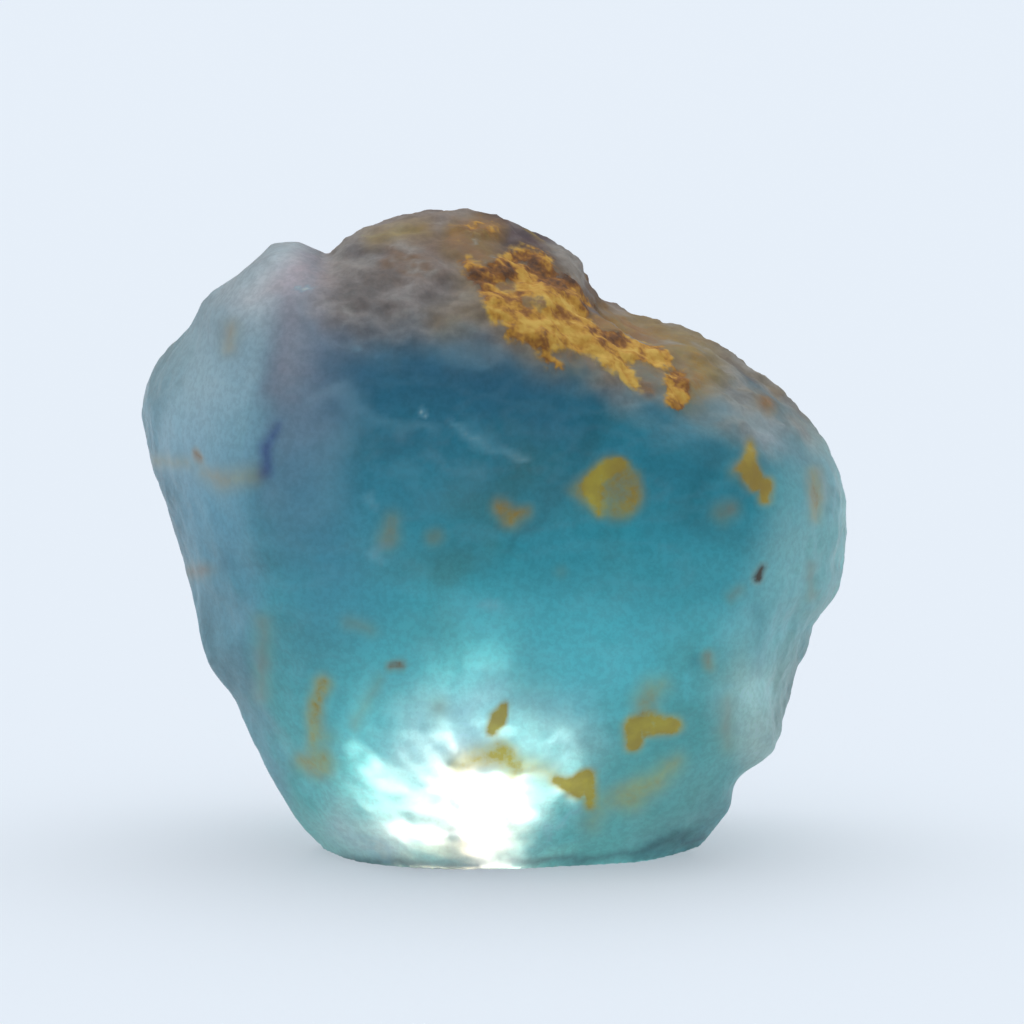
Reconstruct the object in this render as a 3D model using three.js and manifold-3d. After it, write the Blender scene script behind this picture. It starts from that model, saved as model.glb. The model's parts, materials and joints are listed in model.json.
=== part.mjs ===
// Rough fluorite: one translucent, water-worn cleavage fragment that stands on a flat base.
// Millimetres, +Z up. The viewer looks along +Y, with +X to the right. The origin is under
// the middle of the stone's box, on the surface that it stands on.
//
// The stone is one solid. Its surface is described by its reach: how far it extends from a
// core point in any direction. The reach comes from a rounded body that has the stone's
// outline, flattened by worn and broken facets, and then roughened by lumps and pits. Stepped
// cleavage notches and the flat base are cut from it as solids.
import * as THREE from "three";
import Module from "manifold-3d";
import { ImprovedNoise } from "three/addons/math/ImprovedNoise.js";
import { mergeVertices } from "three/addons/utils/BufferGeometryUtils.js";

const CORE = new THREE.Vector3(0.3, 0, 16.8);
const HALF_SIZE = new THREE.Vector3(19, 12, 17.4);
const FRONT_DEPTH = 12.6;
const BACK_DEPTH = 12.2;
const BODY_FULLNESS = 2.7;
const SPHERE_DETAIL = 19;

// The outline seen from the front, as x and z, clockwise from the left end of the base.
const OUTLINE = [
  // left flank, worn and slightly wavy
  [-9.7, 0.0], [-12.3, 1.7], [-14.0, 6.1], [-14.6, 8.2], [-16.1, 10.1], [-16.3, 12.4],
  [-16.8, 15.4], [-17.5, 17.9], [-18.8, 21.1], [-19.7, 24.0], [-19.2, 25.4],
  // left shoulder, up to its rounded tip
  [-17.8, 27.0], [-16.6, 28.1], [-15.3, 30.1], [-13.8, 31.1], [-12.2, 32.5], [-11.1, 33.2],
  // notch between the shoulder and the dome
  [-9.8, 32.1], [-9.2, 31.6], [-8.7, 32.0],
  // dome, which drops by a step at its right end
  [-7.0, 33.4], [-4.5, 34.1], [-1.9, 34.3], [0.3, 34.3], [2.6, 33.1], [4.2, 32.3],
  [5.0, 31.3], [5.3, 30.0], [5.9, 29.3],
  // slope under the crust
  [7.8, 28.3], [10.4, 28.0], [12.1, 27.3], [14.6, 25.2], [16.7, 23.3], [18.7, 20.8],
  // right flank, which is scalloped lower down
  [19.5, 18.4], [19.5, 16.0], [19.0, 13.5], [17.4, 12.2], [17.0, 10.8], [16.2, 8.8],
  [16.4, 7.2], [16.2, 5.2], [13.4, 4.3], [13.1, 3.5], [13.3, 2.0], [12.0, 0.0],
  // below the base, where the flat cut takes it away
  [7.0, -3.6], [1.0, -5.0], [-5.0, -3.6],
];
const OUTLINE_STEPS = 720;
const SMOOTHING_STEPS = 44;
const RIM_FOCUS = 5;

// The rim isn't in one plane: it swings to the back and front as it goes round.
const RIM_SWING = 1.5;
const RIM_SWING_PHASE = 0.5;

// The front is worn: turn is the angle from the viewer's side towards +X, rise the angle
// above level, both in degrees, and reach the distance from the core.
const WORN_ROUNDING = 4.5;
const WORN_FACETS = [
  { name: "front", turn: 3, rise: 3, reach: 11.2 },
  { name: "left front", turn: -57, rise: 4, reach: 16.9 },
  { name: "roof", turn: 2, rise: 55, reach: 16.4 },
  { name: "crust slope", turn: 60, rise: 54, reach: 15.3 },
  { name: "right front", turn: 57, rise: -10, reach: 17.0 },
  { name: "front foot", turn: 10, rise: -32, reach: 14.4 },
  { name: "left foot", turn: -46, rise: -28, reach: 16.6 },
];

// Fluorite is cubic and splits along its four octahedral planes. These are their directions
// in the crystal, named by the side of the stone that they face, and the crystal's own turn.
const CRYSTAL_TURN = [30, -23, 34];
const CLEAVAGE = {
  back: [1, 1, -1],
  top: [1, 1, 1],
  bottom: [-1, -1, -1],
  lowerLeft: [-1, 1, -1],
  upperLeft: [-1, 1, 1],
  lowerRight: [1, -1, -1],
};

// The back is broken along them and less worn.
const BROKEN_ROUNDING = 0.6;
const BROKEN_FACETS = [
  { side: "back", reach: 10.9 },
  { side: "top", reach: 17.0 },
  { side: "lowerLeft", reach: 14.8 },
  { side: "lowerRight", reach: 17.0 },
];

// Stepped notches. Each tread takes away what lies beyond three cleavage planes at once, at
// its distances from the core. The sides are in right-handed order.
const NOTCHES = [
  { sides: ["back", "top", "lowerRight"], treads: [[7.2, 2.6, 9.6], [8.7, 0.9, 7.8], [9.5, 0.0, 3.9]] },
  { sides: ["back", "bottom", "lowerLeft"], treads: [[7.6, 5.6, 10.4], [8.6, 4.2, 7.0], [9.9, 2.4, 6.0]] },
  { sides: ["back", "upperLeft", "top"], treads: [[8.0, 10.6, 9.2], [9.2, 8.0, 7.6]] },
];
const CUTTER_SIZE = 60;

// The iron-stained crust, an uneven strip from the dome's top down the right slope.
const CRUST_PATH = [
  [-3.5, 33.4], [1.0, 31.0], [4.4, 28.2], [8.4, 26.2], [11.0, 24.6],
];
const CRUST_HALF_WIDTH = 2.6;
const CRUST_RELIEF = 0.55;
const CRUST_GRAIN = 2.6;

// Shallow pits on the front that hold the ochre spots.
const PITS = [
  { x: 6.3, z: 19.6, radius: 2.1, depth: 0.4 },
  { x: 0.9, z: 18.4, radius: 1.3, depth: 0.3 },
  { x: 13.9, z: 20.6, radius: 1.4, depth: 0.4 },
  { x: 8.4, z: 6.9, radius: 1.8, depth: 0.4 },
  { x: 4.6, z: 3.5, radius: 1.5, depth: 0.35 },
  { x: 0.2, z: 7.1, radius: 1.1, depth: 0.3 },
  { x: -9.9, z: 4.6, radius: 1.4, depth: 0.35 },
];

const WAVES = [
  { scale: 8.0, height: 0.42 },
  { scale: 3.6, height: 0.2 },
  { scale: 1.9, height: 0.09 },
];

const noise = new ImprovedNoise();

function facingVector({ turn, rise }) {
  const t = THREE.MathUtils.degToRad(turn);
  const r = THREE.MathUtils.degToRad(rise);
  return new THREE.Vector3(Math.sin(t) * Math.cos(r), -Math.cos(t) * Math.cos(r), Math.sin(r));
}

function cleavageNormal(side) {
  const turn = new THREE.Euler(...CRYSTAL_TURN.map(THREE.MathUtils.degToRad), "ZYX");
  return new THREE.Vector3(...CLEAVAGE[side]).normalize().applyEuler(turn);
}

// How far the outline is from the core at evenly spaced angles round the Y axis.
function outlineReaches() {
  const corners = OUTLINE.map(([x, z]) => new THREE.Vector3(x - CORE.x, z - CORE.z, 0));
  const curve = new THREE.CatmullRomCurve3(corners, true, "centripetal");
  const line = curve.getPoints(OUTLINE.length * 16).map((p) => ({
    angle: (Math.atan2(p.y, p.x) + 2 * Math.PI) % (2 * Math.PI),
    reach: Math.hypot(p.x, p.y),
  }));
  line.sort((a, b) => a.angle - b.angle);
  const reaches = [];
  let after = 0;
  for (let i = 0; i < OUTLINE_STEPS; i++) {
    const angle = (i / OUTLINE_STEPS) * 2 * Math.PI;
    while (after < line.length && line[after].angle < angle) after++;
    const b = line[after % line.length];
    const a = line[(after + line.length - 1) % line.length];
    const span = (b.angle - a.angle + 2 * Math.PI) % (2 * Math.PI);
    const share = span > 0 ? ((angle - a.angle + 2 * Math.PI) % (2 * Math.PI)) / span : 0;
    reaches.push(THREE.MathUtils.lerp(a.reach, b.reach, share));
  }
  return reaches;
}

function smoothed(reaches, halfWidth) {
  return reaches.map((_, i) => {
    let sum = 0;
    for (let k = -halfWidth; k <= halfWidth; k++) {
      sum += reaches[(i + k + reaches.length) % reaches.length];
    }
    return sum / (2 * halfWidth + 1);
  });
}

function readRing(ring, angle) {
  const place = ((angle / (2 * Math.PI)) * ring.length + ring.length) % ring.length;
  const i = Math.floor(place);
  return THREE.MathUtils.lerp(ring[i % ring.length], ring[(i + 1) % ring.length], place - i);
}

const sharpOutline = outlineReaches();
const softOutline = smoothed(sharpOutline, SMOOTHING_STEPS);
const facets = [
  ...WORN_FACETS.map((facet) => ({
    normal: facingVector(facet),
    reach: facet.reach,
    rounding: WORN_ROUNDING,
  })),
  ...BROKEN_FACETS.map((facet) => ({
    normal: cleavageNormal(facet.side),
    reach: facet.reach,
    rounding: BROKEN_ROUNDING,
  })),
];

// Small outline detail shows at the rim and dies away towards the front and back.
function bodyReach(direction) {
  const level = Math.hypot(direction.x, direction.z);
  const angle = Math.atan2(direction.z, direction.x);
  const rimShare = Math.pow(level, RIM_FOCUS);
  const outline = THREE.MathUtils.lerp(
    readRing(softOutline, angle),
    readRing(sharpOutline, angle),
    rimShare,
  );
  const across = level / outline;
  const swing = RIM_SWING * Math.sin(2 * angle + RIM_SWING_PHASE);
  const depthwise = direction.y - swing * across;
  const through = Math.abs(depthwise) / (depthwise < 0 ? FRONT_DEPTH : BACK_DEPTH);
  return Math.pow(
    Math.pow(across, BODY_FULLNESS) + Math.pow(through, BODY_FULLNESS),
    -1 / BODY_FULLNESS,
  );
}

// The smaller of two reaches, rounded off where they are within the rounding of each other.
function roundedMin(a, b, rounding) {
  const share = Math.max(1 - Math.abs(a - b) / rounding, 0);
  return Math.min(a, b) - (share * share * rounding) / 4;
}

function facetedReach(direction) {
  let surface = bodyReach(direction);
  for (const { normal, reach, rounding } of facets) {
    const towards = normal.dot(direction);
    if (towards > 0) surface = roundedMin(surface, reach / towards, rounding);
  }
  return surface;
}

function distanceToPath(x, z, path) {
  let nearest = Infinity;
  for (let i = 1; i < path.length; i++) {
    const [ax, az] = path[i - 1];
    const [bx, bz] = path[i];
    const along = ((x - ax) * (bx - ax) + (z - az) * (bz - az)) / ((bx - ax) ** 2 + (bz - az) ** 2);
    const share = THREE.MathUtils.clamp(along, 0, 1);
    nearest = Math.min(nearest, Math.hypot(x - ax - share * (bx - ax), z - az - share * (bz - az)));
  }
  return nearest;
}

function grain(point, scale) {
  return noise.noise(point.x / scale + 40, point.y / scale + 40, point.z / scale + 40);
}

// Height of the fine relief at a point on the surface, out from the stone.
function relief(point) {
  let height = 0;
  for (const wave of WAVES) height += wave.height * grain(point, wave.scale);
  if (point.y < 0) {
    const crust = 1 - distanceToPath(point.x, point.z, CRUST_PATH) / CRUST_HALF_WIDTH;
    height += CRUST_RELIEF * THREE.MathUtils.clamp(2 * crust, 0, 1) * grain(point, CRUST_GRAIN);
    for (const pit of PITS) {
      const away = Math.hypot(point.x - pit.x, point.z - pit.z) / pit.radius;
      if (away < 1) height -= pit.depth * (1 - away * away) ** 2;
    }
  }
  return height;
}

// Each vertex of an ellipsoid moves along its line from the core to the stone's surface.
function roughGeometry() {
  const geometry = new THREE.IcosahedronGeometry(1, SPHERE_DETAIL);
  const places = geometry.attributes.position;
  const direction = new THREE.Vector3();
  const point = new THREE.Vector3();
  for (let i = 0; i < places.count; i++) {
    direction.fromBufferAttribute(places, i).multiply(HALF_SIZE).normalize();
    const reach = facetedReach(direction);
    point.copy(CORE).addScaledVector(direction, reach);
    point.addScaledVector(direction, relief(point));
    places.setXYZ(i, point.x, point.y, point.z);
  }
  return geometry;
}

// The block beyond three cleavage planes: a box, sheared so that the three faces at its
// lowest corner lie on the planes.
function notchGeometry(sides, distances) {
  const planes = new THREE.Matrix4().makeBasis(...sides.map(cleavageNormal)).transpose();
  const geometry = new THREE.BoxGeometry(CUTTER_SIZE, CUTTER_SIZE, CUTTER_SIZE);
  geometry.translate(CUTTER_SIZE / 2, CUTTER_SIZE / 2, CUTTER_SIZE / 2);
  geometry.translate(...distances);
  geometry.applyMatrix4(planes.invert());
  geometry.translate(CORE.x, CORE.y, CORE.z);
  return geometry;
}

function notchGeometries() {
  return NOTCHES.flatMap(({ sides, treads }) => treads.map((tread) => notchGeometry(sides, tread)));
}

function groundGeometry() {
  const geometry = new THREE.BoxGeometry(CUTTER_SIZE, CUTTER_SIZE, CUTTER_SIZE);
  return geometry.translate(0, 0, -CUTTER_SIZE / 2);
}

const wasm = await Module();
wasm.setup();

function toSolid(geometry) {
  const bare = geometry.clone();
  bare.deleteAttribute("normal");
  bare.deleteAttribute("uv");
  const merged = mergeVertices(bare);
  return new wasm.Manifold(
    new wasm.Mesh({
      numProp: 3,
      vertProperties: Float32Array.from(merged.attributes.position.array),
      triVerts: Uint32Array.from(merged.index.array),
    }),
  );
}

function toGeometry(solid) {
  const { vertProperties, triVerts } = solid.getMesh();
  const geometry = new THREE.BufferGeometry();
  geometry.setAttribute("position", new THREE.BufferAttribute(vertProperties, 3));
  geometry.setIndex(new THREE.BufferAttribute(triVerts, 1));
  geometry.computeVertexNormals();
  return geometry;
}

function fluorite() {
  let solid = toSolid(roughGeometry());
  for (const cut of [...notchGeometries(), groundGeometry()]) solid = solid.subtract(toSolid(cut));
  const material = new THREE.MeshStandardMaterial({ color: 0x4f93a6, roughness: 0.5, metalness: 0 });
  const mesh = new THREE.Mesh(toGeometry(solid), material);
  mesh.name = "fluorite";
  return mesh;
}

const stone = new THREE.Group();
stone.add(fluorite());

const box = new THREE.Box3().setFromObject(stone);
const middle = box.getCenter(new THREE.Vector3());
stone.children[0].position.set(-middle.x, -middle.y, -box.min.z);

export default stone;
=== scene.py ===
# Rough fluorite: the stone's finished surface, with a pale floor, soft lights and a camera.
#
# Lengths are in metres in the frame's own axes: +Z up, and the camera looks along +Y at the
# worn front. Places of marks on the front are pixels of the camera's 1024-pixel picture,
# and widths of marks are pixels too. A pixel is about 0.054 mm on the stone.
import json
import math

import bpy
import numpy as np
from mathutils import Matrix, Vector, noise

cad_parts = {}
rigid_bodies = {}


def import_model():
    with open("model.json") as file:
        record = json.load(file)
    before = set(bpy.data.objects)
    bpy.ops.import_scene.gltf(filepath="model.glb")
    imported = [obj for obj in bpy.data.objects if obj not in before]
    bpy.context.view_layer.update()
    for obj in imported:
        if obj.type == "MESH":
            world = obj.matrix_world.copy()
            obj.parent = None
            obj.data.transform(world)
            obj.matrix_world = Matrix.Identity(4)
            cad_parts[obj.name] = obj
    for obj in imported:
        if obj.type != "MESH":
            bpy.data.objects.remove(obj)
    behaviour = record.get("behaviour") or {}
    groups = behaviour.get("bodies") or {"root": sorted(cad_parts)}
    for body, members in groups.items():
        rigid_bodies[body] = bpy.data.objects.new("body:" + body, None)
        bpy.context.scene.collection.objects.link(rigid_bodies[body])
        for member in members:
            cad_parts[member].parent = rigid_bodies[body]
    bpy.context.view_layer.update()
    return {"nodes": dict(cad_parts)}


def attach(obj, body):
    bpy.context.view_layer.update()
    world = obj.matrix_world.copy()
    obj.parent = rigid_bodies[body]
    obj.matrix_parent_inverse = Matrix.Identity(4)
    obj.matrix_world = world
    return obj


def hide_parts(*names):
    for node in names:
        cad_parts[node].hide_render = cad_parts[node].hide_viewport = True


MM = 0.001
PICTURE = 1024

CAMERA_LENS = 180.0
CAMERA_SENSOR = 36.0
CAMERA_RISE = math.radians(8.0)
CAMERA_AWAY = 276.0 * MM
CAMERA_AIM = Vector((0.9, 0.0, 18.2)) * MM
CAMERA_NEAREST = 10 * MM

# The fine mesh: the size of its squares, and the rounds of smoothing all over and on the front.
VOXEL = 0.23 * MM
SMOOTH_ROUNDS = 4
WORN_SMOOTH_ROUNDS = 16
SMOOTH_PULLS = (0.5, -0.51)

# The worn front gives way to the broken back between these places along +Y.
WORN_FADE = (1.0 * MM, 5.0 * MM)

# The right end of the foot curves up from the floor, between two places across the stone.
FOOT_LIFT = 0.62 * MM
FOOT_LIFT_ACROSS = (7.0 * MM, 13.0 * MM)
FOOT_LIFT_TOP = 5.0 * MM

# Relief, each kind as a height, a size and a number of octaves of noise.
SOFT_RELIEF = (0.06 * MM, 2.2 * MM, 3)
FINE_RELIEF = (0.012 * MM, 0.5 * MM, 2)
RUGGED_RELIEF = (0.22 * MM, 1.3 * MM, 3)

# The crust's grains. Below this level of a grain the surface sinks, and above it rises.
GRAIN_SIZE = 0.7 * MM
GRAIN_HEIGHT = 0.28 * MM
GRAIN_LEVEL = 0.35

# How rugged the two flanks are beside the cap, and over which pixels that fades in.
RIGHT_RUGGED = 0.5
RIGHT_RUGGED_FADE = (20, 60)
LEFT_RUGGED = 0.35
LEFT_RUGGED_FADE = (40, 90)

# Noise: where it starts, how much weaker and finer each octave is than the last.
NOISE_OFFSET = Vector((3.7, 9.1, 5.3))
OCTAVE_FALL = 1.0
OCTAVE_STEP = 2.0

# Noise that breaks up the zones and the marks' edges, as a size and a number of octaves. The
# jitter across and down is taken from two far places. A drift is in pixels.
WANDER = (5.0 * MM, 4)
MOTTLE = (1.7 * MM, 4)
MOTTLE_STREAKING = (0.8, 0.8, 1.3)
JITTER = (1.1 * MM, 3)
JITTER_PLACES = (1.0, 2.0)
STAIN_DRIFT = 2.0
CRUST_DRIFT = 3.0
VEIL_DRIFT = 10.0

# A mark's edge fades over this many times its softness to either side. Its tone takes over
# this many times sooner than its cover, from the tone of places without marks.
EDGE_SPREAD = 1.8
TONE_HASTE = 2.0
MIDDLE_TONE = 0.4

# The marks fade out where the surface turns away from the front, with a mottled border.
FACING_FADE = (0.0, 0.25)
FACING_MOTTLE = 0.15

# Scattered stains on the back.
BEHIND_NOISE = (2.4 * MM, 4)
BEHIND_WANDER = 0.5
BEHIND_FADE = (0.40, 0.70)
BEHIND_STRENGTH = 0.55

# Faint wisps all over the stone, except near its top.
WISP_NOISE = (3.4 * MM, 5)
WISP_STRENGTH = 0.13
WISP_STREAKING = (0.5, 0.6, 1.4)
WISP_FADE = (0.82, 1.0)
WISP_FADE_DOWN = (330, 400)

# Borders of the colour zones: how far they wander in pixels, and where they fade.
BODY_WANDER = 30
LEFT_WANDER = 24
LEFT_FADE = (-16, 24)
RIGHT_WANDER = 14
RIGHT_FADE = (-25, 30)
CAP_WANDER = 34
CAP_FADE = (-26, 26)
CAP_LEFT_FADE = (6, -34)
PATCH_WANDER = 14.0

# The lilac band on the right of the left ridge.
LILAC_STRENGTH = 0.8
LILAC_OFFSET = 34
LILAC_REACH = 80
LILAC_WANDER = 20
LILAC_FADE_DOWN = (620, 380)

# Where the cap turns brown or slope grey, and how strongly its noise turns it smoky or cloudy.
BROWN_FADE = (0.0, 0.6)
BROWN_FADE_HEIGHT = (20, 90)
SLOPE_FADE = (600, 700)
SMOKE_STRENGTH = 0.7
SMOKE_FADE = (0.05, 0.5)
CLOUD_STRENGTH = 0.6
CLOUD_FADE = (-0.05, -0.5)

# The finish of each kind of surface.
CAP_HAZE = 0.62
WORN_ROUGHNESS = 0.40
BROKEN_ROUGHNESS = 0.12
CAP_ROUGHNESS = 0.62
EARTHY_ROUGHNESS = 0.75
SMOOTH_SPOT_SHARE = 0.5
SEE_THROUGH = 0.85
STAIN_BOOST = 1.2
MOST_STAIN = 0.97
STAIN_OPACITY = 0.80
VEIL_COVER = 0.8
VEIL_HAZE = 0.6
REFRACTION = 1.434
ABSORPTION = (0.12, 0.62, 0.74)
ABSORPTION_DENSITY = 60.0

# The material's noise, each kind as a size, a detail and a roughness.
FINE_NOISE = (0.35 * MM, 2.0, 0.65)
COARSE_NOISE = (1.6 * MM, 3.0, 0.6)
LUMP_NOISE = (0.45 * MM, 2.0, 0.55)
GRIT_NOISE = (0.16 * MM, 3.0, 0.7)

# What the noise does: from which range of it, and to which range of the effect.
STONE_CLOUDS = (0.35, 0.7, 0.0, 0.25)
STONE_SPECKLE = (0.35, 0.65, 0.90, 1.10)
STAIN_MOTTLE = (0.3, 0.7, 0.85, 1.12)
STAIN_SPECKLE = (0.25, 0.75, 0.85, 1.15)
STAIN_TONE_SHIFT = (0.3, 0.7, -0.1, 0.1)
CRUST_RAGGEDNESS = (0.3, 0.7, -0.15, 0.18)
CRUST_BLOTCHES = (0.35, 0.65, 0.32, -0.26)
CRUST_LUMPS = (0.3, 0.7, 0.18, -0.12)

# From which thickness the crust shows, and from which the veils turn from blue to white.
CRUST_EDGE = (0.22, 0.72)
VEIL_WHITENING = (0.45, 0.75)

# The bump: its strength and height, and how much of it is grain all over the stone.
BUMP_STRENGTH = 0.5
BUMP_HEIGHT = 0.06 * MM
FINE_BUMP = 0.3

# The studio: how bright the sky is, from level to overhead and from the viewer's side to the
# far side, and the floor.
SKY_RISE = (0.5, 1.0)
SKY_LOW_TO_HIGH = (0.50, 2.40)
SKY_DEPTH = (-0.7, 0.4)
SKY_FRONT_TO_BACK = (0.40, 1.0)
FLOOR_SIDES = 96
FLOOR_RADIUS = 2.0
FLOOR_GLOW = 0.78
FLOOR_ROUGHNESS = 0.9
FLOOR_SHEEN = 0.1

# Lamps behind the stone. Each has a name, a place and a target in mm, a size in metres, a power
# in watts and a spread in degrees.
LAMPS = [
    ("glow", (0.5, 20, 5.6), (-1.9, -10, 1.9), 0.003, 0.00056, 16.0),
    ("halo", (-0.2, 22, 8.3), (-1.8, -10, 4.2), 0.006, 0.00020, 20.0),
]
LAMP_COLOUR = (1.0, 0.44, 0.37)

# Colours, linear.
SKY = (0.93, 0.97, 1.0)
FLOOR = (0.46, 0.49, 0.53)
DEEP = (0.018, 0.128, 0.212)
SLATE = (0.070, 0.180, 0.260)
TEAL = (0.062, 0.430, 0.470)
AQUA = (0.225, 0.815, 0.790)
PALE_AQUA = (0.330, 0.880, 0.780)
FACET_PALE = (0.770, 0.920, 0.930)
FACET_GREY = (0.370, 0.600, 0.700)
FACET_AQUA = (0.450, 0.780, 0.720)
FACET_GLASSY = (0.700, 0.960, 0.860)
LILAC = (0.600, 0.430, 0.470)
LILAC_GREY = (0.520, 0.450, 0.470)
SHOULDER_ROSE = (0.730, 0.490, 0.480)
CAP_GREY = (0.300, 0.228, 0.200)
CAP_SMOKE = (0.160, 0.120, 0.105)
CAP_BROWN = (0.200, 0.085, 0.025)
CAP_PLUM = (0.048, 0.018, 0.030)
CLOUD_GREY = (0.400, 0.350, 0.310)
CLOUD_TINT = (0.750, 0.850, 0.900)
HAZE_BLUE = (0.450, 0.480, 0.520)
# White painted as a glow, where light comes through the stone.
PAINTED_GLOW = (0.870, 0.970, 0.940)
LEFT_BLUE = (0.150, 0.340, 0.440)
# A painted shadow along the foot.
FOOT_PAINTED_SHADOW = (0.100, 0.140, 0.160)
SLOPE_GREY = (0.280, 0.230, 0.175)
VIOLET = (0.060, 0.050, 0.250)
DARK_BLUE = (0.020, 0.090, 0.140)
VEIL_BLUE = (0.400, 0.640, 0.730)
VEIL_WHITE = (0.760, 0.800, 0.720)

# Colours of the stains and of the crust by their tone.
STAIN_COLOURS = [
    (0.0, (0.66, 0.50, 0.030)),
    (0.35, (0.42, 0.25, 0.020)),
    (0.65, (0.33, 0.16, 0.050)),
    (1.0, (0.07, 0.03, 0.015)),
]
CRUST_COLOURS = [
    (0.0, (0.66, 0.41, 0.075)),
    (0.35, (0.54, 0.27, 0.035)),
    (0.65, (0.27, 0.105, 0.018)),
    (1.0, (0.08, 0.035, 0.018)),
]

# The body's own colour by how far down the picture it is, and that of the two side facets.
BODY_COLOURS = [(360, DEEP), (530, TEAL), (650, AQUA), (840, PALE_AQUA)]
LEFT_COLOURS = [(390, FACET_PALE), (520, FACET_GREY)]
RIGHT_COLOURS = [(560, FACET_AQUA), (690, FACET_GLASSY), (750, FACET_GLASSY), (800, FACET_AQUA)]

# Lines across the picture that part the stone's colour zones, as pixels.
CAP_BORDER = [
    (140, 300), (255, 318), (330, 338), (440, 345), (540, 366),
    (600, 388), (690, 412), (790, 432), (850, 480),
]
LEFT_RIDGE = [(240, 312), (300, 292), (380, 270), (470, 262), (560, 256), (690, 262), (860, 300)]
RIGHT_RIDGE = [(380, 820), (440, 796), (590, 742), (700, 714), (775, 735), (860, 800)]

# Soft patches of colour in the stone, among them a painted glow low on the front, painted light at the
# lower right of the foot and a painted shadow along the foot. Each has a colour, a strength, a soft
# edge in pixels, and a path of points with half-widths: (across, down, half-width).
PATCHES = [
    (SHOULDER_ROSE, 0.90, 26, [(235, 300, 10), (268, 276, 16), (296, 262, 12)]),
    (SLATE, 0.90, 30, [(350, 372, 16), (450, 378, 24), (540, 392, 16)]),
    (LEFT_BLUE, 0.70, 44, [(310, 470, 20), (330, 570, 34), (312, 640, 14)]),
    (CAP_SMOKE, 0.60, 22, [(322, 290, 14), (364, 298, 16)]),
    (CLOUD_GREY, 0.90, 14, [(336, 252, 8), (368, 250, 12)]),
    (CAP_SMOKE, 0.80, 9, [(479, 304, 11)]),
    (CLOUD_GREY, 0.50, 8, [(700, 410, 8)]),
    (LILAC_GREY, 0.90, 22, [(296, 300, 12), (292, 318, 16), (284, 376, 12)]),
    (FACET_PALE, 0.60, 26, [(236, 304, 10), (206, 340, 12)]),
    (CAP_BROWN, 0.90, 18, [(426, 240, 10), (454, 240, 18), (486, 248, 18)]),
    (CAP_PLUM, 1.00, 12, [(492, 222, 8), (510, 240, 14), (538, 240, 15), (554, 252, 8)]),
    (CAP_PLUM, 0.80, 12, [(580, 296, 8), (596, 318, 6)]),
    (CLOUD_GREY, 0.95, 8, [(562, 252, 6), (574, 262, 10), (582, 276, 6)]),
    (CLOUD_GREY, 0.60, 16, [(700, 392, 6), (737, 416, 10), (794, 424, 12)]),
    (AQUA, 0.80, 16, [(346, 756, 12), (366, 800, 16), (392, 846, 12)]),
    # Painted glow: these white patches stand in for the light that comes through the stone low on the
    # front.
    (PAINTED_GLOW, 0.95, 30, [(432, 742, 12), (462, 745, 26), (480, 800, 34), (484, 850, 32)]),
    (PAINTED_GLOW, 0.80, 16, [(470, 720, 8), (496, 694, 8)]),
    (PAINTED_GLOW, 0.75, 24, [(532, 712, 10), (560, 730, 12)]),
    (PAINTED_GLOW, 0.35, 18, [(572, 698, 12), (592, 745, 12)]),
    (PAINTED_GLOW, 0.90, 16, [(334, 822, 12), (358, 844, 14), (392, 852, 12)]),
    (FACET_GLASSY, 0.50, 24, [(700, 786, 16)]),
    (TEAL, 0.60, 7, [(556, 806, 12), (556, 830, 24), (538, 852, 14)]),
    (HAZE_BLUE, 0.85, 18, [(782, 448, 14), (816, 462, 14), (828, 494, 12)]),
    # Painted light: a paler colour at the lower right of the foot, where less light reaches.
    (FACET_GLASSY, 0.60, 20, [(650, 842, 8), (712, 822, 12)]),
    # Painted glow: white where the glow spreads up to the left.
    (PAINTED_GLOW, 0.70, 22, [(404, 748, 12), (420, 716, 12)]),
    # Painted shadow: a dark band along the foot, where the stone meets the floor.
    (FOOT_PAINTED_SHADOW, 0.90, 4, [
        (322, 848, 3), (360, 861, 5), (420, 866, 6), (476, 869, 3),
        (560, 868, 3), (640, 857, 3), (704, 840, 3),
    ]),
]

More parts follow.
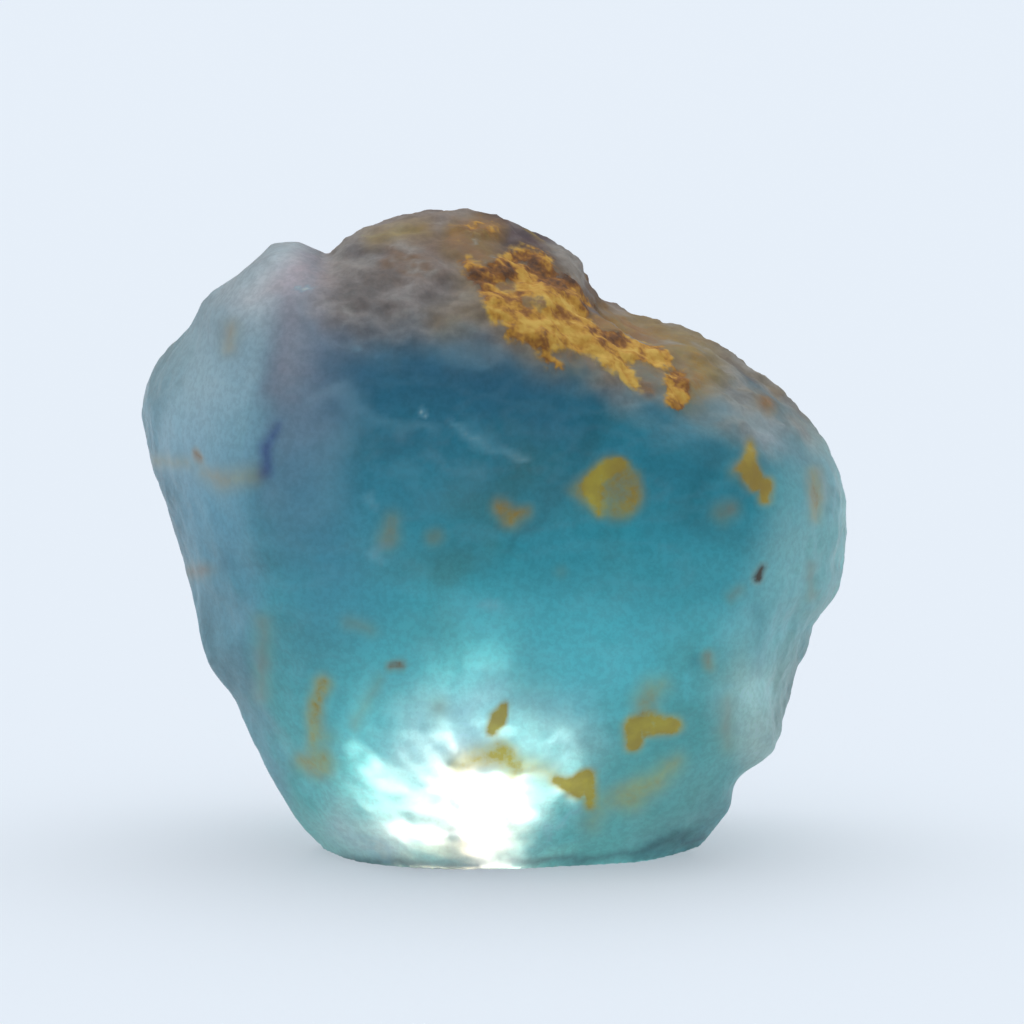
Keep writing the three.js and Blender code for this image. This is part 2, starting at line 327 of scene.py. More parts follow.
# Marks on the front. Each has a tone from 0, ochre yellow, to 1, dark brown, before its
# strength, soft edge and path.
STAINS = [
    # ring-shaped spot
    (0.30, 0.66, 6, [(594, 490, 18), (612, 486, 26), (618, 496, 24)]),
    (0.35, 0.45, 5, [(571, 489, 4), (584, 486, 8)]),
    (0.15, 0.85, 4, [(624, 463, 4), (606, 466, 7), (594, 482, 7), (592, 500, 7), (598, 514, 5)]),
    (0.25, 0.45, 4, [(616, 462, 5), (636, 474, 4), (640, 492, 4), (628, 512, 5)]),
    (0.36, 0.72, 5, [(502, 508, 10), (510, 516, 12), (526, 512, 6)]),
    # bent spot on the right
    (0.28, 1.00, 4, [(751, 446, 5), (748, 466, 10), (757, 484, 9), (767, 483, 7), (765, 498, 7)]),
    (0.30, 0.60, 6, [(736, 471, 6), (746, 474, 9)]),
    (0.60, 0.60, 7, [(722, 513, 8), (731, 509, 7)]),
    (0.65, 0.90, 6, [(767, 402, 9)]),
    (0.40, 0.70, 6, [(814, 474, 6), (817, 498, 8), (815, 518, 4)]),
    (1.00, 0.90, 3, [(757, 578, 5), (763, 567, 3)]),
    (0.80, 0.50, 5, [(731, 597, 4), (739, 590, 4)]),
    (0.85, 0.45, 4, [(811, 566, 4), (811, 596, 4)]),
    (0.55, 0.65, 4, [(708, 655, 5), (709, 666, 5)]),
    # bright lower right spot, with its haze and trail
    (0.18, 1.00, 4, [(634, 744, 9), (634, 726, 11), (652, 724, 12), (674, 726, 9)]),
    (0.30, 0.55, 8, [(644, 704, 12), (652, 690, 12), (664, 684, 6)]),
    (0.12, 0.55, 8, [(676, 762, 8), (652, 782, 13), (630, 797, 16)]),
    (0.10, 0.38, 8, [(606, 800, 9), (592, 822, 10)]),
    (0.12, 1.00, 4, [(556, 780, 5), (576, 788, 11), (588, 776, 8), (590, 802, 6)]),
    (0.10, 0.55, 8, [(536, 768, 9), (552, 774, 8)]),
    # leaf-shaped spot and the yellow under it
    (0.20, 1.00, 3, [(504, 706, 4), (498, 718, 9), (492, 730, 6)]),
    (0.02, 0.66, 7, [(504, 752, 9), (516, 766, 12), (512, 778, 8)]),
    (0.05, 0.65, 8, [(456, 766, 9), (478, 758, 12), (500, 754, 13)]),
    (0.35, 0.35, 6, [(440, 707, 8)]),
    # hooked spot on the left
    (0.22, 0.68, 5, [(322, 684, 10), (316, 700, 9), (314, 726, 8), (312, 744, 5)]),
    (0.22, 0.62, 6, [(304, 762, 10), (320, 764, 15)]),
    (0.30, 0.45, 7, [(326, 738, 8)]),
    (0.75, 0.85, 3, [(390, 666, 4), (402, 664, 4)]),
    (0.45, 0.40, 6, [(350, 622, 6), (371, 629, 5)]),
    (0.70, 0.50, 7, [(263, 622, 7), (264, 648, 7), (262, 672, 7), (262, 696, 6)]),
    (0.65, 0.60, 6, [(190, 571, 8), (206, 570, 6)]),
    (0.60, 0.75, 3, [(196, 453, 4), (200, 458, 5)]),
    (0.34, 0.48, 6, [(156, 461, 6), (186, 463, 4)]),
    (0.34, 0.46, 7, [(204, 473, 7), (222, 480, 12), (254, 475, 9)]),
    (1.00, 0.90, 4, [(640, 384, 5), (648, 390, 6)]),
    (0.35, 0.50, 7, [(232, 328, 7), (229, 348, 7)]),
    (0.45, 0.55, 7, [(392, 520, 7), (388, 540, 10)]),
    (0.55, 0.55, 5, [(434, 537, 8)]),
    (0.90, 0.40, 5, [(560, 572, 4)]),
    (0.50, 0.35, 5, [(354, 725, 5), (379, 679, 4)]),
    (0.60, 0.40, 6, [(727, 700, 4), (726, 732, 7), (728, 746, 6)]),
    # warm stains at the top and along the slope
    (0.60, 1.00, 6, [(456, 232, 8), (476, 228, 12), (494, 232, 9)]),
    (0.34, 0.60, 8, [(372, 238, 6), (394, 232, 8), (424, 228, 6)]),
    (0.60, 0.60, 9, [(456, 244, 10), (478, 256, 8)]),
    (0.45, 0.35, 12, [(440, 322, 10), (470, 312, 12)]),
    (0.40, 0.70, 12, [(612, 322, 8), (655, 331, 12), (692, 350, 16), (704, 372, 16), (692, 392, 8)]),
    (0.60, 0.60, 8, [(600, 318, 6), (630, 328, 5)]),
    (0.60, 0.70, 14, [(484, 272, 18), (524, 294, 36), (558, 328, 38), (640, 356, 22), (690, 386, 14)]),
]

# The thick crust, in the same form.
CRUST = [
    (0.50, 0.60, 7, [(458, 231, 7), (476, 227, 10), (492, 230, 8)]),
    (0.60, 0.90, 6, [(466, 264, 7), (474, 276, 9), (486, 284, 9)]),
    (0.54, 1.00, 6, [(492, 276, 12), (518, 260, 12), (540, 267, 14)]),
    (0.45, 1.00, 7, [(498, 296, 15), (530, 290, 22), (556, 294, 18)]),
    (0.20, 1.00, 6, [(502, 312, 13), (532, 316, 15), (566, 316, 18), (584, 330, 12)]),
    (0.70, 0.80, 6, [(568, 280, 6), (579, 294, 8), (590, 308, 7)]),
    (0.20, 0.95, 5, [(514, 334, 7), (532, 338, 8)]),
    (0.45, 0.80, 6, [(544, 342, 10), (548, 358, 8), (558, 366, 6)]),
    (0.20, 1.00, 5, [(566, 336, 13), (598, 345, 13)]),
    (0.55, 0.90, 5, [(594, 334, 6), (626, 342, 8)]),
    (0.22, 1.00, 4, [(612, 354, 10), (642, 353, 10), (664, 358, 9)]),
    (0.12, 0.95, 4, [(604, 362, 6), (620, 370, 8), (640, 386, 7)]),
    (0.30, 1.00, 4, [(676, 380, 12), (677, 396, 12)]),
]

# Small coloured marks, in the same form as the patches.
SPECKS = [
    (VIOLET, 0.95, 4, [(277, 424, 2), (267, 444, 5), (266, 474, 5)]),
    (DARK_BLUE, 0.60, 7, [(225, 564, 8)]),
    (DARK_BLUE, 0.60, 5, [(697, 661, 6)]),
    (DARK_BLUE, 0.40, 8, [(392, 446, 7), (406, 438, 7)]),
    (DARK_BLUE, 0.40, 6, [(758, 609, 4), (759, 666, 5)]),
    (CAP_PLUM, 0.95, 5, [(640, 384, 6), (648, 390, 7)]),
    (CAP_PLUM, 0.80, 5, [(612, 346, 6)]),
    (CAP_PLUM, 0.60, 6, [(378, 247, 8), (350, 251, 6)]),
]

# Holes in the crust, each a strength, a soft edge and a path.
CRUST_HOLES = [
    (0.95, 4, [(500, 287, 4), (514, 287, 5)]),
    (0.80, 4, [(525, 263, 4)]),
    (0.90, 5, [(528, 300, 3), (540, 304, 5)]),
    (0.90, 4, [(646, 387, 6)]),
]

# Whitish veils, in the same form as the holes.
VEILS = [
    (0.50, 7, [(302, 398, 4), (340, 392, 6), (364, 404, 5), (372, 424, 4)]),
    (0.35, 9, [(352, 412, 6), (350, 442, 7)]),
    (0.50, 5, [(382, 426, 3), (410, 431, 4), (436, 430, 3)]),
    (0.62, 4, [(452, 424, 4), (472, 438, 4), (494, 450, 3)]),
    (0.70, 4, [(508, 450, 4), (520, 456, 4)]),
    (0.40, 5, [(428, 452, 3), (450, 466, 3), (480, 471, 3)]),
    (0.35, 7, [(392, 472, 5), (418, 476, 4)]),
    (0.60, 4, [(368, 501, 4)]),
    (0.62, 4, [(376, 554, 4), (390, 545, 4)]),
    (0.25, 14, [(330, 440, 12), (326, 500, 14)]),
    (0.20, 14, [(430, 500, 10), (470, 486, 10)]),
    (0.30, 8, [(430, 352, 6), (470, 356, 8), (500, 352, 6)]),
    (0.30, 6, [(470, 430, 5), (500, 440, 4)]),
    (0.40, 10, [(706, 398, 5), (738, 418, 10), (768, 424, 6)]),
    (0.40, 8, [(644, 396, 4), (664, 404, 4)]),
    (0.40, 8, [(243, 622, 9)]),
    (0.60, 5, [(484, 607, 4), (499, 606, 4)]),
    (0.25, 8, [(440, 616, 5), (474, 602, 5), (530, 612, 5)]),
    (0.60, 3, [(556, 832, 2), (568, 820, 3), (582, 810, 2)]),
    (0.50, 3, [(544, 840, 2), (547, 826, 2)]),
    (0.80, 2, [(423, 411, 6)]),
    (0.70, 6, [(364, 846, 6), (386, 851, 7)]),
    (0.50, 8, [(334, 828, 6), (352, 840, 6)]),
    (0.80, 1, [(305, 289, 3)]),
    (0.80, 1, [(475, 240, 3)]),
    (0.80, 1, [(487, 262, 3)]),
    (0.70, 2, [(508, 281, 4)]),
    (0.50, 2, [(354, 350, 3)]),
    (0.50, 2, [(372, 355, 3)]),
    (0.45, 7, [(452, 712, 3), (474, 700, 4), (496, 686, 3), (512, 668, 2)]),
    (0.35, 7, [(520, 700, 3), (545, 708, 4), (568, 726, 3), (580, 748, 2)]),
    (0.30, 8, [(500, 660, 3), (524, 650, 3), (548, 656, 3)]),
    (0.25, 10, [(380, 690, 6), (400, 664, 4), (430, 650, 4)]),
]

# Where the stone is cloudy, in the same form.
HAZES = [
    (0.65, 26, [(250, 296, 14), (296, 262, 14)]),
    (0.35, 26, [(290, 320, 12), (284, 370, 12)]),
    (0.30, 60, [(210, 380, 30)]),
    (0.60, 26, [(752, 690, 12), (756, 746, 14)]),
    (0.25, 40, [(800, 560, 20)]),
    (0.62, 14, [(334, 822, 12), (358, 844, 14), (392, 852, 12)]),
    (0.90, 10, [(512, 236, 12), (538, 242, 14), (552, 252, 8)]),
    (0.85, 18, [(346, 774, 14), (368, 790, 16), (380, 804, 8)]),
    (0.72, 7, [(556, 806, 12), (556, 830, 24), (538, 852, 14)]),
]

# Where the worn surface is smoothest, in the same form.
SMOOTH_SPOTS = [
    (1.00, 26, [(455, 740, 20), (478, 830, 36)]),
]


def smoothstep(low, high, value):
    share = np.clip((value - low) / (high - low), 0.0, 1.0)
    return share * share * (3.0 - 2.0 * share)


def mix(first, second, share):
    """Blends arrays or colours by a share for each point."""
    first = np.asarray(first, dtype=float)
    second = np.asarray(second, dtype=float)
    share = np.asarray(share)[:, None]
    return first * (1.0 - share) + second * share


def mix_numbers(first, second, share):
    return first + (second - first) * share


# Camera

def camera_back():
    return Vector((0.0, -math.cos(CAMERA_RISE), math.sin(CAMERA_RISE)))


def add_camera():
    data = bpy.data.cameras.new("camera")
    data.lens = CAMERA_LENS
    data.sensor_width = CAMERA_SENSOR
    data.clip_start = CAMERA_NEAREST
    camera = bpy.data.objects.new("camera", data)
    back = camera_back()
    camera.location = CAMERA_AIM + back * CAMERA_AWAY
    camera.rotation_euler = back.to_track_quat("Z", "Y").to_euler()
    bpy.context.scene.collection.objects.link(camera)
    bpy.context.scene.camera = camera


def picture_places(points):
    """Where points fall in the camera's picture, in pixels right and down from its corner."""
    back = camera_back()
    up = Vector((0.0, math.sin(CAMERA_RISE), math.cos(CAMERA_RISE)))
    away = points - np.array(CAMERA_AIM + back * CAMERA_AWAY)
    depth = -(away @ np.array(back))
    scale = PICTURE * CAMERA_LENS / CAMERA_SENSOR / depth
    across = PICTURE / 2 + scale * away[:, 0]
    down = PICTURE / 2 - scale * (away @ np.array(up))
    return np.column_stack([across, down])


# Fine mesh

class Surface:
    """The stone's fine mesh as arrays of points, and of the edges between them."""

    def __init__(self, mesh):
        self.mesh = mesh
        self.points = np.empty(len(mesh.vertices) * 3)
        mesh.vertices.foreach_get("co", self.points)
        self.points = self.points.reshape(-1, 3)
        edges = np.empty(len(mesh.edges) * 2, dtype=int)
        mesh.edges.foreach_get("vertices", edges)
        self.edges = edges.reshape(-1, 2)
        self.valence = np.bincount(edges, minlength=len(self.points))

    def neighbour_mean(self, values):
        total = np.zeros_like(values)
        starts, ends = self.edges.T
        for column in range(values.shape[1]):
            total[:, column] += np.bincount(starts, values[ends, column], len(values))
            total[:, column] += np.bincount(ends, values[starts, column], len(values))
        return total / self.valence[:, None]

    def smooth(self, rounds, share):
        """Smooths by turns of pulling in and pushing out, so that the stone doesn't shrink."""
        for _ in range(rounds):
            for pull in SMOOTH_PULLS:
                step = self.neighbour_mean(self.points) - self.points
                self.points += step * pull * share[:, None]

    def write(self):
        self.mesh.vertices.foreach_set("co", self.points.ravel())
        self.mesh.update()

    def normals(self):
        self.write()
        normals = np.empty(len(self.points) * 3)
        self.mesh.vertex_normals.foreach_get("vector", normals)
        return normals.reshape(-1, 3)

    def keep(self, name, values):
        """Stores a number or a colour for each point, for the material to read."""
        if values.ndim == 1:
            attribute = self.mesh.attributes.new(name, "FLOAT", "POINT")
            attribute.data.foreach_set("value", values.astype(np.float32))
            return
        colours = np.column_stack([values, np.ones(len(values))])
        attribute = self.mesh.attributes.new(name, "FLOAT_COLOR", "POINT")
        attribute.data.foreach_set("color", colours.astype(np.float32).ravel())


def fine_mesh(node):
    """A copy of a node's solid as an even mesh of small squares."""
    rough = bpy.data.objects.new("rough", node.data.copy())
    bpy.context.scene.collection.objects.link(rough)
    remesh = rough.modifiers.new("even", "REMESH")
    remesh.mode = "VOXEL"
    remesh.voxel_size = VOXEL
    graph = bpy.context.evaluated_depsgraph_get()
    mesh = bpy.data.meshes.new_from_object(rough.evaluated_get(graph))
    bpy.data.objects.remove(rough)
    return mesh


def noise_at(points, size, octaves):
    """Noise from about -1 to 1 at each point, with features of about the given size."""
    return np.array([
        noise.fractal(Vector(place) / size + NOISE_OFFSET, OCTAVE_FALL, OCTAVE_STEP, octaves)
        for place in points
    ])


def cells_at(points, size):
    """Grains of about the given size: 0 between them and 1 at their middles."""
    distances = [noise.voronoi(Vector(place) / size + NOISE_OFFSET)[0] for place in points]
    nearest = np.array([found[0] for found in distances])
    return np.clip(1.0 - nearest, 0.0, 1.0)


# Marks

def path_distance(places, path):
    """Distance in pixels from each place to a path's edge, below 0 inside its half-width."""
    if len(path) == 1:
        across, down, half_width = path[0]
        return np.hypot(places[:, 0] - across, places[:, 1] - down) - half_width
    nearest = np.full(len(places), np.inf)
    for start, end in zip(path, path[1:]):
        first = np.array(start[:2], dtype=float)
        run = np.array(end[:2], dtype=float) - first
        share = np.clip((places - first) @ run / (run @ run), 0.0, 1.0)
        away = np.hypot(*(places - first - share[:, None] * run).T)
        half_width = start[2] + share * (end[2] - start[2])
        nearest = np.minimum(nearest, away - half_width)
    return nearest


def path_cover(places, strength, softness, path):
    edge = EDGE_SPREAD * softness
    return strength * smoothstep(edge, -edge, path_distance(places, path))


def marks_cover(places, marks):
    """How much the marks cover each place."""
    clear = np.ones(len(places))
    for mark in marks:
        clear *= 1.0 - path_cover(places, *mark)
    return 1.0 - clear


def toned_cover(places, marks):
    """How much the toned marks cover each place, and their tone there."""
    clear = np.ones(len(places))
    tone = np.full(len(places), MIDDLE_TONE)
    for mark_tone, *mark in marks:
        cover = path_cover(places, *mark)
        tone += (mark_tone - tone) * np.clip(TONE_HASTE * cover, 0.0, 1.0)
        clear *= 1.0 - cover
    return 1.0 - clear, tone


def coloured(colours, places, marks, share=1.0):
    """The colours with the coloured marks over them."""
    for mark_colour, *mark in marks:
        colours = mix(colours, mark_colour, path_cover(places, *mark) * share)
    return colours


def line_side(line, along, value):
    """How far each value is beyond a picture line that is given as (along, value) points."""
    stations, values = np.array(line, dtype=float).T
    return value - np.interp(along, stations, values)


# Build

def worn_share(points):
    """1 on the worn front and 0 on the broken back."""
    return 1.0 - smoothstep(*WORN_FADE, points[:, 1])


def foot_lift(points):
    """How far the right end of the foot curves up from the floor at each point."""
    across = smoothstep(*FOOT_LIFT_ACROSS, points[:, 0])
    return FOOT_LIFT * across * smoothstep(FOOT_LIFT_TOP, 0.0, points[:, 2])


def build_shape(node):
    surface = Surface(fine_mesh(node))
    base = surface.points[:, 2] < 0.5 * VOXEL
    everywhere = np.where(base, 0.0, 1.0)
    worn = everywhere * worn_share(surface.points)
    surface.smooth(SMOOTH_ROUNDS, everywhere)
    surface.smooth(WORN_SMOOTH_ROUNDS, worn)
    surface.points[base, 2] = 0.0
    surface.points[:, 2] += foot_lift(surface.points)
    return surface, base


def colours_down(down, stops):
    """The colour at each distance down the picture, between stops given as (down, colour)."""
    stations = [at for at, _ in stops]
    channels = np.array([colour for _, colour in stops]).T
    return np.column_stack([np.interp(down, stations, channel) for channel in channels])


def zone_sides(places):
    """How far each place is inside the cap, the left facet and the right facet."""
    across, down = places.T
    height = -line_side(CAP_BORDER, across, down)
    left = -line_side(LEFT_RIDGE, down, across)
    right = line_side(RIGHT_RIDGE, down, across)
    return height, left, right


class Spots:
    """Each point's place in the picture, and the noise that breaks up zones and marks there."""

    def __init__(self, surface):
        points = surface.points
        facing = surface.normals() @ np.array(camera_back())
        self.points = points
        self.places = picture_places(points)
        self.wander = noise_at(points, *WANDER)
        self.jitter = np.column_stack([noise_at(points + far, *JITTER) for far in JITTER_PLACES])
        self.mottle = noise_at(points * MOTTLE_STREAKING, *MOTTLE)
        self.front = smoothstep(*FACING_FADE, facing + FACING_MOTTLE * self.mottle)

    def drifted(self, drift):
        """The places, moved about by some pixels, which makes the edges of marks uneven."""
        return self.places + drift * self.jitter


def body_colour(spots, left, right):
    """The stone's colour under its cap: deep blue to pale aqua, between the two side facets."""
    down = spots.places[:, 1]
    wander = spots.wander
    colour = colours_down(down + BODY_WANDER * wander, BODY_COLOURS)
    away = np.abs(left + LILAC_OFFSET + LILAC_WANDER * wander)
    lilac = smoothstep(LILAC_REACH, 0, away) * smoothstep(*LILAC_FADE_DOWN, down)
    colour = mix(colour, LILAC, LILAC_STRENGTH * lilac)
    left_share = smoothstep(*LEFT_FADE, left + LEFT_WANDER * wander)
    colour = mix(colour, colours_down(down, LEFT_COLOURS), left_share)
    right_share = smoothstep(*RIGHT_FADE, right + RIGHT_WANDER * wander)
    return mix(colour, colours_down(down, RIGHT_COLOURS), right_share)


def cap_colour(spots, height):
    """The cap's colour: grey, with brown, smoky and cloudy places."""
    brown = smoothstep(*BROWN_FADE, spots.wander) * smoothstep(*BROWN_FADE_HEIGHT, height)
    colour = mix(CAP_GREY, CAP_BROWN, brown)
    colour = mix(colour, SLOPE_GREY, smoothstep(*SLOPE_FADE, spots.places[:, 0]))
    colour = mix(colour, CAP_SMOKE, SMOKE_STRENGTH * smoothstep(*SMOKE_FADE, spots.mottle))
    return mix(colour, CLOUD_GREY, CLOUD_STRENGTH * smoothstep(*CLOUD_FADE, spots.mottle))


def colour_zones(spots):
    """The stone's own colour at each point, and its cap: zones that run straight through it."""
    height, left, right = zone_sides(spots.places)
    cap = smoothstep(*CAP_FADE, height + CAP_WANDER * spots.wander)
    cap *= smoothstep(*CAP_LEFT_FADE, left)
    colour = mix(body_colour(spots, left, right), cap_colour(spots, height), cap)
    return coloured(colour, spots.places + PATCH_WANDER * spots.wander[:, None], PATCHES), cap


def stains(spots):
    """How stained each point is, and the stain's tone: marks in front, and scattered behind."""
    cover, tone = toned_cover(spots.drifted(STAIN_DRIFT), STAINS)
    scattered = noise_at(spots.points, *BEHIND_NOISE) + BEHIND_WANDER * spots.wander
    behind = (1.0 - spots.front) * smoothstep(*BEHIND_FADE, scattered)
    return np.maximum(cover * spots.front, BEHIND_STRENGTH * behind), tone


def crust_cover(spots):
    """How thick the crust is at each point, and its tone."""
    loose = spots.drifted(CRUST_DRIFT)
    cover, tone = toned_cover(loose, CRUST)
    return cover * spots.front * (1.0 - marks_cover(loose, CRUST_HOLES)), tone


def veils(spots):
    wisps = 1.0 - np.abs(noise_at(spots.points * WISP_STREAKING, *WISP_NOISE))
    wisps = smoothstep(*WISP_FADE, wisps) * smoothstep(*WISP_FADE_DOWN, spots.places[:, 1])
    drawn = marks_cover(spots.drifted(VEIL_DRIFT), VEILS) * spots.front
    return np.maximum(drawn, WISP_STRENGTH * wisps)


def surface_roughness(spots, cap):
    smoothed = SMOOTH_SPOT_SHARE * marks_cover(spots.places, SMOOTH_SPOTS)
    frosted = worn_share(spots.points) * (1.0 - smoothed)
    roughness = mix_numbers(BROKEN_ROUGHNESS, WORN_ROUGHNESS, frosted)
    return mix_numbers(roughness, CAP_ROUGHNESS, cap)


def ruggedness(spots, cap):
    """Where the surface is rugged: fully on the cap, and less on the two flanks."""
    _, left, right = zone_sides(spots.places)
    flanks = np.maximum(
        RIGHT_RUGGED * smoothstep(*RIGHT_RUGGED_FADE, right),
        LEFT_RUGGED * smoothstep(*LEFT_RUGGED_FADE, left),
    )
    return np.maximum(cap, flanks)


def paint(surface):
    """Stores the colour, stains, crust and veils on the mesh, for the material to read."""
    spots = Spots(surface)
    tint, cap = colour_zones(spots)
    stain, tone = stains(spots)
    crust, crust_tone = crust_cover(spots)
    surface.keep("tint", coloured(tint, spots.drifted(CRUST_DRIFT), SPECKS, spots.front))
    surface.keep("haze", np.maximum(CAP_HAZE * cap, marks_cover(spots.places, HAZES)))
    surface.keep("stain", stain)
    surface.keep("tone", np.clip(tone, 0.0, 1.0))
    surface.keep("crust", crust)
    surface.keep("crust_tone", np.clip(crust_tone, 0.0, 1.0))
    surface.keep("veil", veils(spots))
    surface.keep("rough", surface_roughness(spots, cap))
    return crust, ruggedness(spots, cap)


def relief(points, height, size, octaves):
    return height * noise_at(points, size, octaves)


def roughen(surface, base, crust, rugged):
    """Lifts the crust's grains and adds the worn surface's fine unevenness."""
    points = surface.points
    height = relief(points, *SOFT_RELIEF) + relief(points, *FINE_RELIEF)
    height += GRAIN_HEIGHT * crust * (cells_at(points, GRAIN_SIZE) - GRAIN_LEVEL)
    height += rugged * relief(points, *RUGGED_RELIEF)
    height[base] = 0.0
    surface.points = points + surface.normals() * height[:, None]
    surface.points[:, 2] = np.maximum(surface.points[:, 2], 0.0)
    surface.write()


# Material

def opaque(colour):
    return (*colour, 1.0)


class Nodes:
    """Short calls for adding nodes to a material or a sky."""

    def __init__(self, tree):
        self.tree = tree
        self.coordinates = self.add("ShaderNodeTexCoord").outputs

    def add(self, kind, **settings):
        node = self.tree.nodes.new(kind)
        for name, value in settings.items():
            setattr(node, name, value)
        return node

    def link(self, output, target):
        self.tree.links.new(output, target)

    def feed(self, target, value):
        if isinstance(value, bpy.types.NodeSocket):
            self.link(value, target)
        else:
            target.default_value = value

    def attribute(self, name, output="Fac"):
        return self.add("ShaderNodeAttribute", attribute_name=name).outputs[output]

    def math(self, operation, first, second):
        node = self.add("ShaderNodeMath", operation=operation)
        self.feed(node.inputs[0], first)
        self.feed(node.inputs[1], second)
        return node.outputs[0]

    def remap(self, value, low, high, to_low=0.0, to_high=1.0):
        """The value turned from one range to another, with soft ends."""
        node = self.add("ShaderNodeMapRange", interpolation_type="SMOOTHSTEP")
        names = ("Value", "From Min", "From Max", "To Min", "To Max")
        for name, given in zip(names, (value, low, high, to_low, to_high)):
            self.feed(node.inputs[name], given)
        return node.outputs[0]

    def mix_colour(self, share, first, second, blend="MIX"):
        node = self.add("ShaderNodeMix", data_type="RGBA", blend_type=blend)
        self.feed(node.inputs["Factor"], share)
        self.feed(node.inputs["A"], first)
        self.feed(node.inputs["B"], second)
        return node.outputs["Result"]

    def scale_colour(self, colour, factor):
        node = self.add("ShaderNodeVectorMath", operation="SCALE")
        self.feed(node.inputs[0], colour)
        self.feed(node.inputs["Scale"], factor)
        return node.outputs[0]

    def noise(self, size, detail, roughness):
        node = self.add("ShaderNodeTexNoise")
        self.link(self.coordinates["Object"], node.inputs["Vector"])
        node.inputs["Scale"].default_value = 1.0 / size
        node.inputs["Detail"].default_value = detail
        node.inputs["Roughness"].default_value = roughness
        return node.outputs["Fac"]

    def ramp(self, value, stops):
        node = self.add("ShaderNodeValToRGB")
        elements = node.color_ramp.elements
        while len(elements) < len(stops):
            elements.new(0.5)
        for element, (at, colour) in zip(elements, stops):
            element.position = at
            element.color = opaque(colour)
        self.link(value, node.inputs["Fac"])
        return node.outputs["Color"]


def stone_colour(nodes, fine, coarse, veil):
    """The stone's own colour, a little cloudy and speckled, with the veils over it."""
    tint = nodes.attribute("tint", "Color")
    cloudy = nodes.remap(coarse, *STONE_CLOUDS)
    stone = nodes.mix_colour(cloudy, tint, opaque(CLOUD_TINT), "SOFT_LIGHT")
    stone = nodes.scale_colour(stone, nodes.remap(fine, *STONE_SPECKLE))
    whiteness = nodes.remap(veil, *VEIL_WHITENING)
    veil_colour = nodes.mix_colour(whiteness, opaque(VEIL_BLUE), opaque(VEIL_WHITE))
    return nodes.mix_colour(nodes.math("MULTIPLY", veil, VEIL_COVER), stone, veil_colour)


def stain_layer(nodes, fine, coarse):
    """How much the stains cover, and their colour."""
    stain = nodes.attribute("stain")
    mottled = nodes.math("MULTIPLY", stain, nodes.remap(coarse, *STAIN_MOTTLE))
    uneven = nodes.math("MULTIPLY", mottled, nodes.remap(fine, *STAIN_SPECKLE))
    cover = nodes.math("MINIMUM", nodes.math("MULTIPLY", uneven, STAIN_BOOST), MOST_STAIN)
    own_tone = nodes.attribute("tone")
    tone = nodes.math("ADD", own_tone, nodes.remap(coarse, *STAIN_TONE_SHIFT))
    return cover, nodes.ramp(tone, STAIN_COLOURS)


def crust_layer(nodes, coarse, lumps):
    """How much the crust covers, and its colour."""
    crust = nodes.attribute("crust")
    ragged = nodes.math("ADD", crust, nodes.remap(lumps, *CRUST_RAGGEDNESS))
    own_tone = nodes.attribute("crust_tone")
    blotchy = nodes.math("ADD", own_tone, nodes.remap(coarse, *CRUST_BLOTCHES))
    tone = nodes.math("ADD", blotchy, nodes.remap(lumps, *CRUST_LUMPS))
    return nodes.remap(ragged, *CRUST_EDGE), nodes.ramp(tone, CRUST_COLOURS)


def add_finish(nodes, shader, veil, stain_cover, crust_cover):
    """Makes the clear stone see-through, and the stains and the crust earthy."""
    stain_block = nodes.math("MULTIPLY", stain_cover, STAIN_OPACITY)
    covered = nodes.math("MAXIMUM", stain_block, crust_cover)
    haze = nodes.attribute("haze")
    hazy = nodes.math("MAXIMUM", haze, nodes.math("MULTIPLY", veil, VEIL_HAZE))
    clear = nodes.math("SUBTRACT", 1.0, nodes.math("MAXIMUM", covered, hazy))
    see_through = nodes.math("MULTIPLY", clear, SEE_THROUGH)
    nodes.link(see_through, shader.inputs["Transmission Weight"])
    earthy = nodes.math("MULTIPLY", covered, EARTHY_ROUGHNESS)
    roughness = nodes.math("MAXIMUM", nodes.attribute("rough"), earthy)
    nodes.link(roughness, shader.inputs["Roughness"])
    shader.inputs["IOR"].default_value = REFRACTION


def add_bump(nodes, shader, fine, crust_cover):
    """A faint grain all over the stone, and grit on its crust."""
    grit = nodes.math("MULTIPLY", crust_cover, nodes.noise(*GRIT_NOISE))
    grain = nodes.math("ADD", nodes.math("MULTIPLY", fine, FINE_BUMP), grit)
    bump = nodes.add("ShaderNodeBump")
    bump.inputs["Strength"].default_value = BUMP_STRENGTH
    bump.inputs["Distance"].default_value = BUMP_HEIGHT
    nodes.link(grain, bump.inputs["Height"])
    nodes.link(bump.outputs["Normal"], shader.inputs["Normal"])


def add_absorption(nodes, output):
    absorption = nodes.add("ShaderNodeVolumeAbsorption")
    absorption.inputs["Color"].default_value = opaque(ABSORPTION)
    absorption.inputs["Density"].default_value = ABSORPTION_DENSITY
    nodes.link(absorption.outputs[0], output.inputs["Volume"])


def fluorite_material():
    material = bpy.data.materials.new("fluorite")
    material.use_nodes = True
    nodes = Nodes(material.node_tree)
    shader = material.node_tree.nodes["Principled BSDF"]
    fine = nodes.noise(*FINE_NOISE)
    coarse = nodes.noise(*COARSE_NOISE)
    lumps = nodes.noise(*LUMP_NOISE)
    veil = nodes.attribute("veil")
    stain_cover, stain_colour = stain_layer(nodes, fine, coarse)
    crust_cover, crust_colour = crust_layer(nodes, coarse, lumps)
    colour = stone_colour(nodes, fine, coarse, veil)
    colour = nodes.mix_colour(stain_cover, colour, stain_colour)
    colour = nodes.mix_colour(crust_cover, colour, crust_colour)
    nodes.link(colour, shader.inputs["Base Color"])
    add_finish(nodes, shader, veil, stain_cover, crust_cover)
    add_bump(nodes, shader, fine, crust_cover)
    add_absorption(nodes, material.node_tree.nodes["Material Output"])
    return material


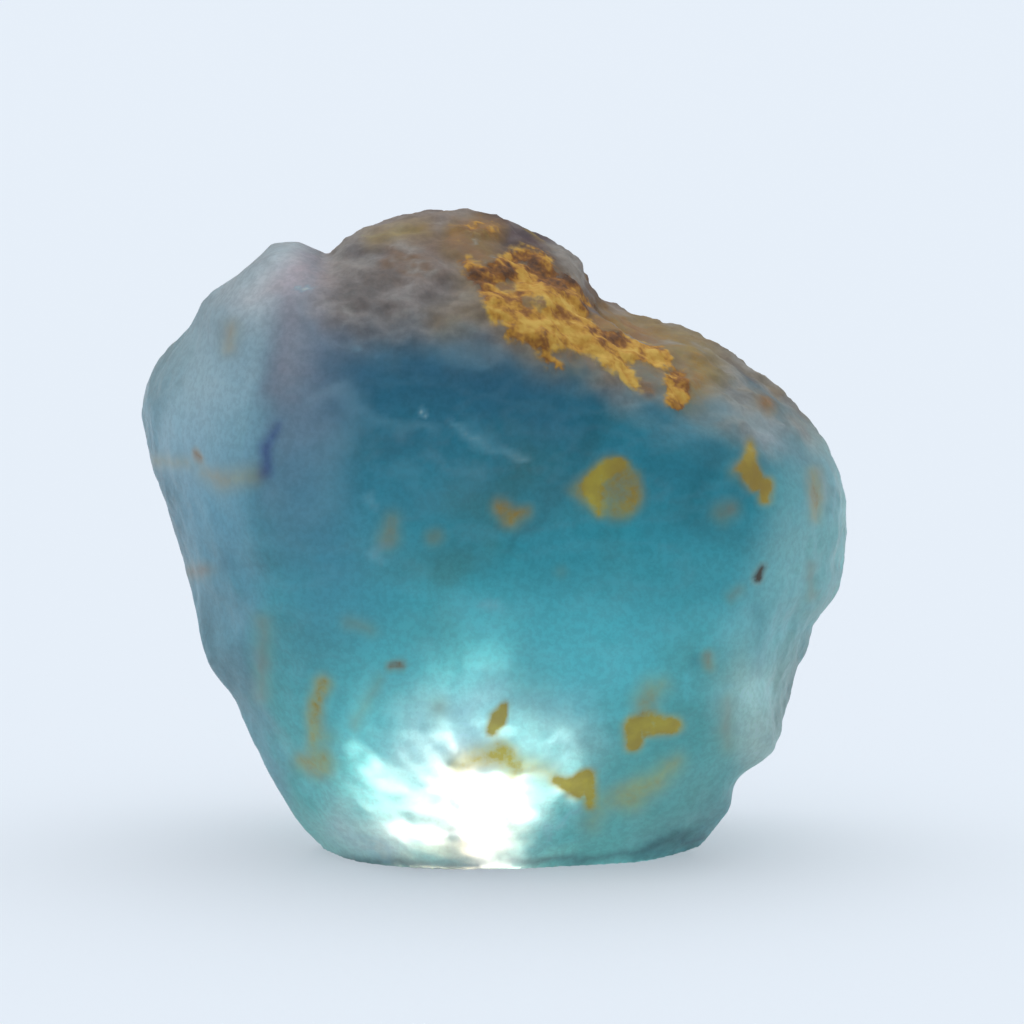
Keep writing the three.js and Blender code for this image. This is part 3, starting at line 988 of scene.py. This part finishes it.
def add_stone(node):
    surface, base = build_shape(node)
    crust, rugged = paint(surface)
    roughen(surface, base, crust, rugged)
    surface.mesh.materials.clear()
    surface.mesh.materials.append(fluorite_material())
    surface.mesh.shade_smooth()
    stone = bpy.data.objects.new("fluorite_surface", surface.mesh)
    bpy.context.scene.collection.objects.link(stone)
    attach(stone, "root")
    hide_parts("fluorite")


# Studio

def add_floor():
    bpy.ops.mesh.primitive_circle_add(vertices=FLOOR_SIDES, radius=FLOOR_RADIUS, fill_type="NGON")
    floor = bpy.context.object
    floor.name = "floor"
    material = bpy.data.materials.new("floor")
    material.use_nodes = True
    shader = material.node_tree.nodes["Principled BSDF"]
    shader.inputs["Base Color"].default_value = opaque(FLOOR)
    shader.inputs["Roughness"].default_value = FLOOR_ROUGHNESS
    shader.inputs["Specular IOR Level"].default_value = FLOOR_SHEEN
    shader.inputs["Emission Color"].default_value = opaque(FLOOR)
    shader.inputs["Emission Strength"].default_value = FLOOR_GLOW
    floor.data.materials.append(material)


def add_lamp(name, place, towards, size, power, spread):
    """A warm round lamp, hidden from direct view."""
    data = bpy.data.lights.new(name, "AREA")
    data.shape = "DISK"
    data.size = size
    data.energy = power
    data.color = LAMP_COLOUR
    data.spread = math.radians(spread)
    lamp = bpy.data.objects.new(name, data)
    lamp.location = Vector(place) * MM
    lamp.rotation_euler = (Vector(place) - Vector(towards)).to_track_quat("Z", "Y").to_euler()
    lamp.visible_camera = False
    bpy.context.scene.collection.objects.link(lamp)


def add_world():
    """A pale sky, brightest overhead and dim on the viewer's side."""
    world = bpy.data.worlds.new("studio")
    bpy.context.scene.world = world
    world.use_nodes = True
    nodes = Nodes(world.node_tree)
    background = world.node_tree.nodes["Background"]
    direction = nodes.add("ShaderNodeSeparateXYZ")
    nodes.link(nodes.coordinates["Generated"], direction.inputs[0])
    overhead = nodes.remap(direction.outputs["Z"], *SKY_RISE, *SKY_LOW_TO_HIGH)
    behind = nodes.remap(direction.outputs["Y"], *SKY_DEPTH, *SKY_FRONT_TO_BACK)
    nodes.link(nodes.math("MULTIPLY", overhead, behind), background.inputs["Strength"])
    background.inputs["Color"].default_value = opaque(SKY)


def main():
    for thing in list(bpy.data.objects):
        bpy.data.objects.remove(thing)
    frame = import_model()
    bpy.context.scene.view_settings.view_transform = "Standard"
    add_camera()
    add_stone(frame["nodes"]["fluorite"])
    add_floor()
    add_world()
    for lamp in LAMPS:
        add_lamp(*lamp)


main()
